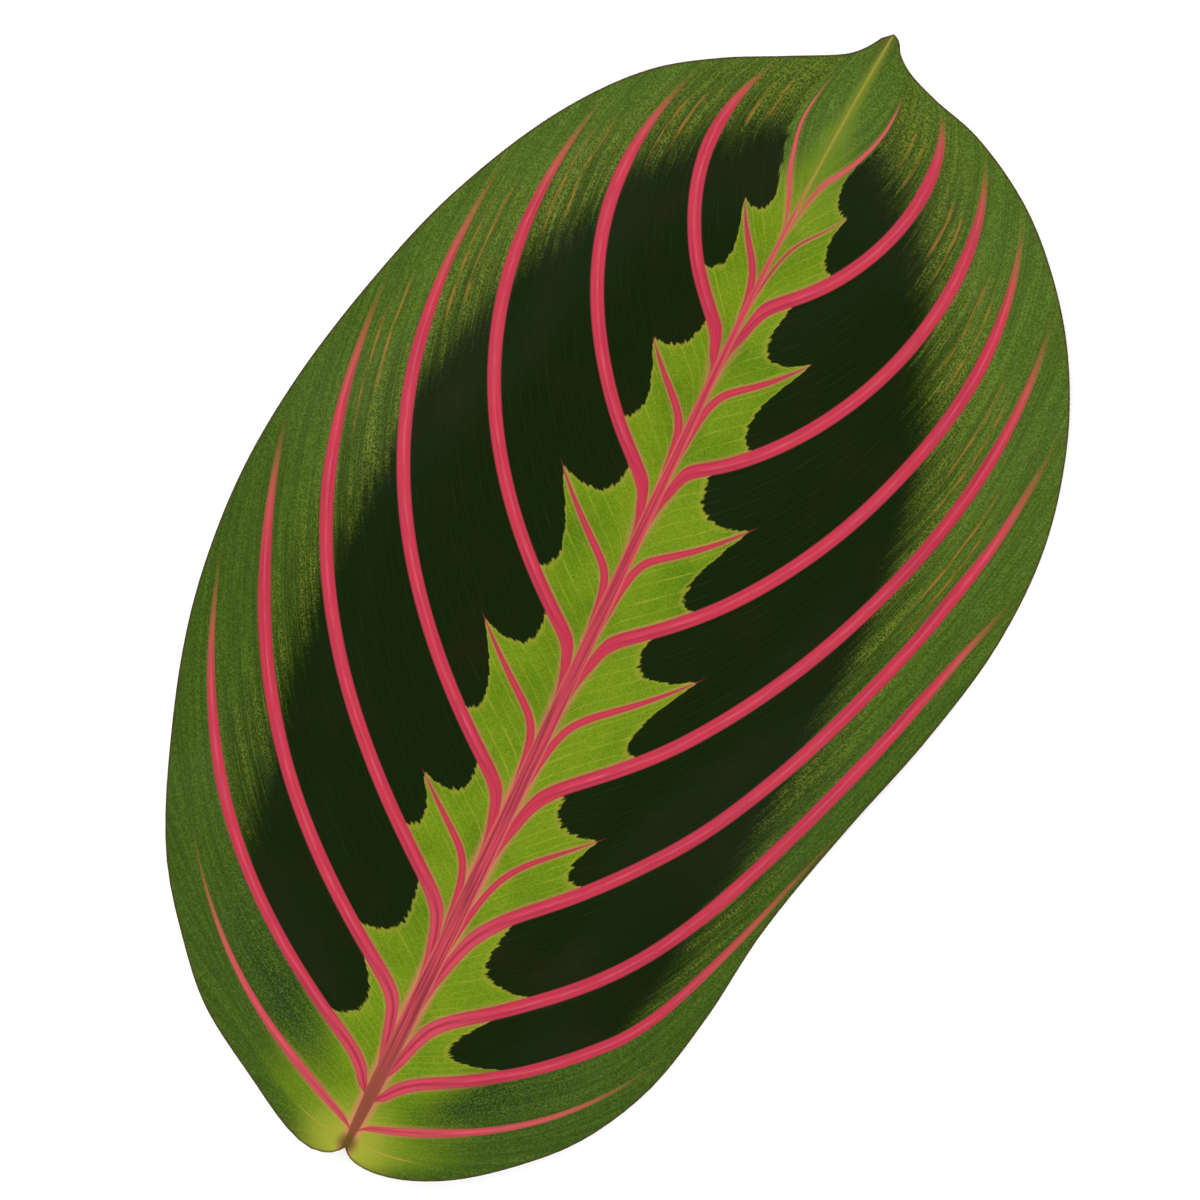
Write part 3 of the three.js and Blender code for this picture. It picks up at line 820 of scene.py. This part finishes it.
def read_marks(tree):
    """Every mark of the blade by name, as the paint reads it, and from them how far each
    point lies inside the edge of the vein, side vein or dash next to it, in mm."""
    marks = {}
    for mark, parts in MARKS.items():
        whole = add(tree, MARK, {"attribute_name": mark}, {}, "Vector")
        for k, part in enumerate(parts):
            marks[part] = add(tree, PARTS, {}, {0: whole}, k)
    number, side_width = marks["number"], marks["side_width"]
    nearest = add(tree, MATH, {"operation": "ROUND"}, (number,))
    share = add(tree, MATH, {"operation": "FRACT"}, (number,))
    dash, other_dash = DASH_PLACES
    places = {
        "vein": (number, nearest, marks["width"], marks["vein_half"]),
        "side": (share, marks["side_place"], side_width, marks["side_half"]),
        "dash": (share, dash, side_width, DASH_WIDTH),
        "other_dash": (share, other_dash, side_width, DASH_WIDTH),
    }
    for name, (here, place, unit, half_width) in places.items():
        off = add(tree, MATH, LESS, (here, place))
        off = add(tree, MATH, TIMES, (off, unit))
        size = add(tree, MATH, SIZE, (off,))
        marks[name + "_off"] = off
        marks[name + "_gap"] = add(tree, MATH, TIMES_PLUS, (size, -1, half_width))
    return marks


# Fine veins in each strip between two bold veins, about 1 mm apart
FINE_VEINS = 11
# Noise cells: grain of about 0.2 mm, worm-like flecks 0.3 mm apart, clouds of 7 mm. The real
# cells are 0.05 mm, too fine to show.
GRAIN_SCALE = 5600
WORM_SCALE = 3000
CLOUD_SCALE = 150

# Noise drawn out along the veins: features for each strip across (strands in a vein and
# cords in the midrib: for each mm), for each mm along, a place of its own in the noise,
# detail and roughness
STREAKS = {
    "sway": (6, 0.03, 5.1, 2, 0.55),
    "broken": (30, 0.3, 9.1, 2, 0.55),
    "long": (9, 0.07, 2.3, 2, 0.55),
    "teeth": (32, 0.8, 3.7, 3, 0.55),
    "feather": (20, 0.2, 0, 4, 0.55),
    "strands": (6, 0.12, 7.3, 2, 0.5),
    "cords": (5, 0.1, 1.9, 2, 0.5),
}

# Colours of the upper face, the underside, the stalk and the floor
LIME_GREEN = "#5b720d"
LIME_DEEP = "#3f5c06"
LIME_VEIN = "#7d8425"
MID_GREEN = "#42561a"
DEEP_GREEN = "#1c2e09"
MARGIN_GREEN = "#304211"
SHADE_GREEN = "#15230a"
BLACK_GREEN = "#0a1701"
BLACK_BROWN = "#1a1403"
FRINGE_YELLOW = "#787624"
STREAK_YELLOW = "#737826"
STREAK_ORANGE = "#96602a"
VEIN_RED = "#9d2a3a"
VEIN_DARK = "#872336"
VEIN_EDGE = "#842934"
# Pale pink of the veins, also the colour of their painted highlight
VEIN_PALE_AND_HIGHLIGHT = "#be5f6c"
VEIN_END = "#824e2c"
SPINE_RED = "#9c3540"
SPINE_DARK = "#6e2830"
SPINE_PALE = "#aa5d4c"
SPINE_LOW = "#673a26"
SPINE_HIGH = "#7b7228"
JOINT_BROWN = "#4a3c16"
JOINT_GLOW = "#87882c"
LOW_SHADE = "#d4e0cb"
TIP_OLIVE = "#4c601a"
FLECK_GREEN = "#5c7729"
VEIN_SALMON = "#b2564e"
VEIN_TAN = "#8d7836"
MARGIN_BROWN = "#3b2618"
UNDER_GREEN = "#465233"
UNDER_GREY = "#626a4a"
UNDER_PURPLE = "#4f2c3e"
UNDER_SIDE = "#8b4f55"
UNDER_VEIN = "#934652"
UNDER_SPINE = "#996c55"
STALK_BROWN = "#8a5c4a"
PITH_DARK = "#5c4a26"
PITH_PALE = "#8b7a45"
PAPER_WHITE = "#fcfcfb"

# Plant wax bends light a little more than water does, and the skin's relief is this high
WAX_IOR = 1.45
RELIEF = 0.05 * MM


def paint_upper(tree, marks):
    """Colour of the upper face, coat upon coat, and the relief of its fine veins."""
    here = add(tree, PLACE, {}, {}, "Object")
    cells = {"Vector": here, "Scale": GRAIN_SCALE, "Detail": 2, "Roughness": 0.6}
    cells = add(tree, NOISE, {}, cells)
    clouds = add(tree, NOISE, {}, {"Vector": here, "Scale": CLOUD_SCALE, "Detail": 3})
    worms = add(tree, NOISE, {}, {"Vector": here, "Scale": WORM_SCALE, "Detail": 1})
    worms = add(tree, MATH, TO_AND_FRO, (worms, 0.5))
    worms = strength(tree, (worms, 0.41, 0.49))
    grain = strength(tree, (cells, 0.33, 0.67))
    number, course, along, up = (marks[name] for name in ("number", "course", "along", "up"))
    lime, fade, from_margin = marks["lime"], marks["fade"], marks["from_margin"]
    vein_off, vein_gap, side_gap = marks["vein_off"], marks["vein_gap"], marks["side_gap"]
    spine_gap, dash_window = marks["spine_gap"], marks["dash_window"]
    flow = add(tree, POINT, {}, (course, along, 0))
    in_vein = add(tree, POINT, {}, (vein_off, along, 0))
    in_midrib = add(tree, POINT, {}, (marks["beside"], up, 0))
    drawn = {}
    for name, (across, forward, seed, detail, roughness) in STREAKS.items():
        drawn_on = {"strands": in_vein, "cords": in_midrib}.get(name, flow)
        scaled = {"Vector": drawn_on, "Scale": (across, forward, 1), "Location": (0, 0, seed)}
        scaled = add(tree, MAPPING, {}, scaled)
        streak = {"Vector": scaled, "Scale": 1, "Detail": detail, "Roughness": roughness}
        drawn[name] = add(tree, NOISE, {}, streak)
    broken, long = drawn["broken"], drawn["long"]

    # Fine veins, a little uneven, each fading in and out along its way
    order = add(tree, MATH, TIMES_PLUS, (course, FINE_VEINS, drawn["sway"]))
    off = add(tree, MATH, TO_AND_FRO, (order, 0.5))
    half_way = add(tree, MATH, TO_AND_FRO, (order, 0.25))
    fine = strength(tree, (off, 0.08, 0.02))
    finer = strength(tree, (half_way, 0.06, 0.01, 0, 0.5))
    finest = add(tree, MATH, LARGER, (fine, finer))
    shown = strength(tree, (broken, 0.38, 0.62), finest)
    long_fine = strength(tree, (broken, 0.3, 0.65, 0.08, 0.5), fine)

    # Lime near the midrib, more olive towards the tip
    skin_lime = lay_coats(
        tree, LIME_DEEP,
        (LIME_GREEN, (clouds, 0.25, 0.65)),
        (LIME_DEEP, grain, 0.6),
        (LIME_VEIN, worms, 0.22),
        (LIME_VEIN, long_fine),
        (TIP_OLIVE, (up, 100, 114, 0, 0.75)),
    )

    # Grainy green outside, deeper in the lower half
    speckled = add(tree, MATH, TIMES_PLUS, (grain, 0.7, 0.5))
    green = lay_coats(
        tree, DEEP_GREEN,
        (MID_GREEN, (long, 0.15, 0.75, 0.4, 1), speckled),
        (MARGIN_GREEN, (from_margin, 9, 1, 0, 0.55)),
        (FLECK_GREEN, (long, 0.3, 0.75, 0.18, 0.45), worms),
        (STREAK_YELLOW, long_fine, 0.55),
    )
    low = {0: strength(tree, (up, 95, 45)), ONE: green, OTHER: LOW_SHADE}
    green = add(tree, MIX, SHADES, low, MIXED)

    # Black patches: toothed towards the midrib, feathered along the veins outside, where
    # yellow dots and streaks follow
    inner = add(tree, MATH, TIMES_PLUS, (drawn["teeth"], 1.7, marks["patch_in"]))
    inside = strength(tree, (inner, 0.7, 1.05))
    feather = add(tree, MATH, TIMES_PLUS, (grain, 0.35, drawn["feather"]))
    outer = add(tree, MATH, TIMES_PLUS, (feather, 9, marks["patch_out"]))
    uneven = add(tree, MATH, TIMES_PLUS, (grain, -0.6, 1.15))
    dots = strength(tree, (long, 0.42, 0.66, 0.06, 0.4), worms)
    dots = add(tree, MATH, TIMES_PLUS, (shown, 0.3, dots))
    dash = add(tree, MATH, LARGER, (marks["dash_gap"], marks["other_dash_gap"]))
    black = lay_coats(
        tree, BLACK_GREEN,
        (BLACK_BROWN, (clouds, 0.5, 0.8, 0, 0.5)),
        (MID_GREEN, shown, 0.05),
    )

    # Bold veins: strands between dark edges. Where they start, low on the leaf, their middle
    # is a dark line with pale sides, and further out a painted highlight runs along the middle.
    middle = add(tree, MATH, TIMES_PLUS, (drawn["sway"], 0.25, -0.125))
    middle = add(tree, MATH, {}, (middle, vein_off))
    middle = add(tree, MATH, SIZE, (middle,))
    early = strength(tree, (along, 13, 5), (up, 42, 22))
    second = strength(tree, (number, 2.6, 2.4, 0, 0.2))
    small = strength(tree, (number, 9.4, 9.6, 0, 0.4))
    salmon = add(tree, MATH, LARGER, (second, small))
    red = lay_coats(
        tree, VEIN_DARK,
        (VEIN_RED, (drawn["strands"], 0.32, 0.58, 0.15, 1)),
        (VEIN_PALE_AND_HIGHLIGHT, early, (middle, 0.1, 0.3, 0, 0.2)),
        (SPINE_DARK, early, (middle, 0.09, 0.02)),
        # Painted highlight: a pale line along the vein's middle, standing in for light on a fine
        # ridge
        (VEIN_PALE_AND_HIGHLIGHT, (broken, 0.3, 0.7, 0.05, 0.32), (along, 5, 13), (middle, 0.24, 0)),
        (VEIN_EDGE, (vein_gap, 0.22, 0, 0, 0.9)),
        (VEIN_END, (fade, 0.2, 1)),
        (VEIN_SALMON, salmon),
        (VEIN_TAN, (number, 1.6, 1.4)),
    )
    side_red = lay_coats(tree, VEIN_EDGE, (VEIN_RED, (side_gap, 0.02, 0.25)))

    # Midrib: a bundle of strands with a pale outline
    from_joint = add(tree, VECTORS, {"operation": "LENGTH"}, {0: in_midrib}, "Value")
    spine = lay_coats(
        tree, SPINE_DARK,
        (SPINE_RED, (drawn["cords"], 0.38, 0.58)),
        (VEIN_RED, (up, 30, 80, 0, 0.35)),
        (SPINE_PALE, (spine_gap, 0.3, 0, 0, 0.5)),
        (SPINE_LOW, (up, 17, 2, 0, 0.9)),
        (SPINE_HIGH, (up, 102, 109)),
    )

    skin = lay_coats(
        tree, green,
        (skin_lime, lime),
        (JOINT_GLOW, (from_joint, 7, 0.5, 0, 0.8)),
        (SHADE_GREEN, (grain, 1.15, 0), marks["shade"]),
        (BLACK_GREEN, (outer, -12, 5, 0, 0.6), inside, uneven),
        (STREAK_YELLOW, (outer, 8, 3), (outer, -14, 1), dots, inside),
        (STREAK_ORANGE, (dash, -0.08, 0.12), dash_window, (broken, 0.42, 0.6, 0.05, 0.55)),
        (FRINGE_YELLOW, (inner, 0.05, 0.8, 0, 0.6), lime),
        (SPINE_PALE, (vein_gap, -0.4, -0.05, 0, 0.3), lime, (number, 1.4, 1.7)),
        (SPINE_PALE, (side_gap, -0.35, -0.05, 0, 0.35), lime),
        (black, (outer, 1, 8.5), inside),
        (SPINE_PALE, (spine_gap, -0.8, 0, 0, 0.65), (up, 65, 20, 0.1, 1)),
        (side_red, (side_gap, -0.08, 0.06)),
        (red, (vein_gap, -0.08, 0.08), (fade, 1, 0.5)),
        (spine, (spine_gap, -0.1, 0.1)),
        (JOINT_BROWN, (from_joint, 1.5, 0.3, 0, 0.9)),
        (MARGIN_BROWN, (from_margin, 0.3, 0.06, 0, 0.75)),
    )
    return skin, add(tree, MATH, TIMES_PLUS, (finest, -0.7, cells))


def new_material(name):
    """A material, its nodes and its shader."""
    material = bpy.data.materials.new(name)
    material.use_nodes = True
    return material, material.node_tree, material.node_tree.nodes["Principled BSDF"]


def waxy_upper_skin():
    """Leaf cuticle over green and red-black cells. The cells are small domes that swallow
    light, so what the wax gives back is weak and wide: the patches stay nearly black."""
    material, tree, shader = new_material("waxy_upper_skin")
    colour, relief = paint_upper(tree, read_marks(tree))
    bump = {"Height": relief, "Strength": 0.3, "Distance": RELIEF}
    feed(tree, shader, {
        "Base Color": colour, "Roughness": 0.42, "IOR": WAX_IOR, "Specular IOR Level": 0.035,
        "Normal": add(tree, BUMP, {}, bump),
    })
    return material


def dull_lower_skin():
    """The underside: the same skin without the dark pattern, paler, dusted grey-purple, with
    the ribs standing out pink. It gives hardly any sheen."""
    material, tree, shader = new_material("dull_lower_skin")
    marks = read_marks(tree)
    here = add(tree, PLACE, {}, {}, "Object")
    cells = add(tree, NOISE, {}, {"Vector": here, "Scale": GRAIN_SCALE, "Detail": 2})
    skin = lay_coats(
        tree, UNDER_GREEN,
        (UNDER_GREY, cells),
        (UNDER_PURPLE, (marks["patch_in"], -2, 2, 0, 0.75), (marks["patch_out"], -12, 8)),
        (UNDER_SIDE, (marks["side_gap"], -0.2, 0.1, 0, 0.7)),
        (UNDER_VEIN, (marks["vein_gap"], -0.2, 0.2), (marks["fade"], 1, 0.5)),
        (UNDER_SPINE, (marks["spine_gap"], -0.2, 0.2)),
        (MARGIN_BROWN, (marks["from_margin"], 0.32, 0.08)),
    )
    bump = {"Height": cells, "Strength": 0.3, "Distance": RELIEF}
    feed(tree, shader, {
        "Base Color": skin, "Roughness": 0.65, "IOR": WAX_IOR, "Specular IOR Level": 0.25,
        "Normal": add(tree, BUMP, {}, bump),
    })
    return material


# Pores of about 0.3 mm in the cut, and fibres 0.4 mm across and 7 mm long in the stalk's
# skin. The real ones are a third of that, too fine to show.
PORE_SCALE = 3000
STALK_FIBRES = (2500, 150, 2500)


def cut_stalk_flesh():
    """The picked stalk's cut end: pale moist pith among darker strands. It shows as a dull,
    slightly rough disc."""
    material, tree, shader = new_material("cut_stalk_flesh")
    here = add(tree, PLACE, {}, {}, "Object")
    pores = add(tree, NOISE, {}, {"Vector": here, "Scale": PORE_SCALE, "Detail": 2})
    flesh = lay_coats(tree, PITH_DARK, (PITH_PALE, (pores, 0.4, 0.65)))
    bump = add(tree, BUMP, {}, {"Height": pores, "Strength": 0.4, "Distance": RELIEF})
    feed(tree, shader, {"Base Color": flesh, "Roughness": 0.7, "Normal": bump})
    return material


def stalk_skin():
    """The stalk's skin runs out into the midrib under the blade: smooth, pinkish brown."""
    material, tree, shader = new_material("stalk_skin")
    here = add(tree, PLACE, {}, {}, "Object")
    stretch = add(tree, MAPPING, {}, {"Vector": here, "Scale": STALK_FIBRES})
    fibres = add(tree, NOISE, {}, {"Vector": stretch, "Scale": 1, "Detail": 2})
    skin = lay_coats(tree, STALK_BROWN, (UNDER_SPINE, (fibres, 0.35, 0.65)))
    feed(tree, shader, {"Base Color": skin, "Roughness": 0.5})
    return material


def new_object(name, data):
    made = bpy.data.objects.new(name, data)
    bpy.context.scene.collection.objects.link(made)
    return made


def order_faces(mesh):
    """Extruding leaves the faces in an order that changes from run to run. Here they get
    the order of their points, each from its first point on."""
    places = [tuple(point.co) for point in mesh.vertices]
    faces = []
    for face in mesh.polygons:
        corners = list(face.vertices)
        first = corners.index(min(corners))
        faces.append(corners[first:] + corners[:first])
    mesh.clear_geometry()
    mesh.from_pydata(places, [], sorted(faces))
    mesh.update()


def make_stalk_end(shift):
    """Short cut end of the stalk under the notch, tapering into the midrib's keel."""
    x, y, z = ((np.array([0, STALK_END_Y, STALK_LEVEL]) + shift) * MM).tolist()
    bpy.ops.object.select_all(action="DESELECT")
    first = STALK_PROFILE[0][0] * STALK_RADIUS * MM
    bpy.ops.mesh.primitive_circle_add(
        vertices=STALK_SIDES, radius=first, fill_type="NGON",
        location=(x, y, z), rotation=(math.radians(90), 0, 0),
    )
    stalk = bpy.context.object
    stalk.name = "stalk_end"
    bpy.ops.object.transform_apply(location=True, rotation=True)
    bpy.ops.object.mode_set(mode="EDIT")
    bpy.ops.mesh.select_all(action="SELECT")
    radius, along = STALK_PROFILE[0]
    for next_radius, next_along in STALK_PROFILE[1:]:
        forward = (next_along - along) * STALK_LENGTH * MM
        bpy.ops.mesh.extrude_region_move(TRANSFORM_OT_translate={"value": (0, forward, 0)})
        y += forward
        share = next_radius / radius
        bpy.ops.transform.resize(value=(share, share, share), center_override=(x, y, z))
        radius, along = next_radius, next_along
    bpy.ops.mesh.select_all(action="SELECT")
    bpy.ops.mesh.normals_make_consistent(inside=False)
    bpy.ops.object.mode_set(mode="OBJECT")
    mesh = stalk.data
    order_faces(mesh)
    bpy.ops.object.shade_smooth_by_angle(angle=math.radians(STALK_SMOOTH))
    mesh.materials.append(stalk_skin())
    mesh.materials.append(cut_stalk_flesh())
    for face in mesh.polygons:
        face.material_index = int(face.normal.y < CUT_FACING)
    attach(stalk, "root")
    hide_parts("leaf")


def make_blade():
    for half in (RIGHT, LEFT):
        measure_half(half)
    grids = []
    for half in (RIGHT, LEFT):
        grid = weave_half(half)
        raise_half(half, grid)
        colour_half(half, grid)
        grids.append(grid)
    mesh, on_top = assemble_blade(grids)
    shift = centre_blade(mesh)
    lay_out_map(mesh, on_top)
    blade = new_object("leaf_blade", mesh)
    mesh.materials.append(waxy_upper_skin())
    mesh.materials.append(dull_lower_skin())
    bpy.ops.object.select_all(action="DESELECT")
    blade.select_set(True)
    bpy.context.view_layer.objects.active = blade
    bpy.ops.object.shade_smooth_by_angle(angle=math.radians(BLADE_SMOOTH))
    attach(blade, "root")
    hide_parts("leaf")
    return shift


# Camera: straight above the place that shows in the picture's middle, rolled so that the
# leaf leans to the right, far enough off that near and far parts are drawn alike. FARTHEST
# is how far it sees, in metres.
VIEW_WIDTH = 120
VIEW_MIDDLE = (-1.33, 59.89, 3)
VIEW_ROLL = 26.25
LENS = 300
SENSOR = 36
FARTHEST = 10


def place_camera(shift):
    camera = bpy.data.cameras.new("camera")
    camera.lens = LENS
    camera.sensor_width = SENSOR
    holder = new_object("camera", camera)
    distance = VIEW_WIDTH * LENS / SENSOR
    spot = (np.array(VIEW_MIDDLE) + shift + np.array([0, 0, distance])) * MM
    holder.location = spot
    holder.rotation_euler = (0, 0, math.radians(VIEW_ROLL))
    camera.clip_end = FARTHEST
    bpy.context.scene.camera = holder


# The floor's edge in metres, and how far under the leaf it lies in mm
FLOOR_SIZE = 6
FLOOR_DROP = 0.05


def lay_floor():
    """Matt white paper: it shows no gloss, and of the soft shadow hardly anything."""
    bpy.ops.object.select_all(action="DESELECT")
    bpy.ops.mesh.primitive_plane_add(size=FLOOR_SIZE, location=(0, 0, -FLOOR_DROP * MM))
    floor = bpy.context.object
    floor.name = "floor"
    bpy.ops.object.transform_apply(location=True)
    paper, tree, shader = new_material("matt_white_paper")
    feed(tree, shader, {"Base Color": PAPER_WHITE, "Roughness": 0.9})
    floor.data.materials.append(paper)


# Soft lights round the leaf: height and turn in degrees, power. Distance and size in metres
LIGHT_DISTANCE = 1.6
LIGHT_SIZE = 1
LIGHTS = (
    ("window_light", 45, 150, 17.5),
    ("right_fill", 45, -30, 13.5),
    ("low_fill", 42, -110, 12.5),
    ("back_fill", 42, 80, 12),
)
SKY_STRENGTH = 0.5


def hang_lights():
    for name, height, turn, power in LIGHTS:
        lamp = bpy.data.lights.new(name, "AREA")
        lamp.energy = power
        lamp.size = LIGHT_SIZE
        holder = new_object(name, lamp)
        up, turned = math.radians(height), math.radians(turn)
        level = math.cos(up)
        way = Vector((level * math.cos(turned), level * math.sin(turned), math.sin(up)))
        holder.location = way * LIGHT_DISTANCE
        holder.rotation_euler = way.to_track_quat("Z", "Y").to_euler()
    world = bpy.data.worlds.new("studio")
    bpy.context.scene.world = world
    world.use_nodes = True
    sky = world.node_tree.nodes["Background"]
    sky.inputs["Color"].default_value = (1, 1, 1, 1)
    sky.inputs["Strength"].default_value = SKY_STRENGTH
    bpy.context.scene.view_settings.view_transform = "Standard"


shift = make_blade()
make_stalk_end(shift)
place_camera(shift)
lay_floor()
hang_lights()
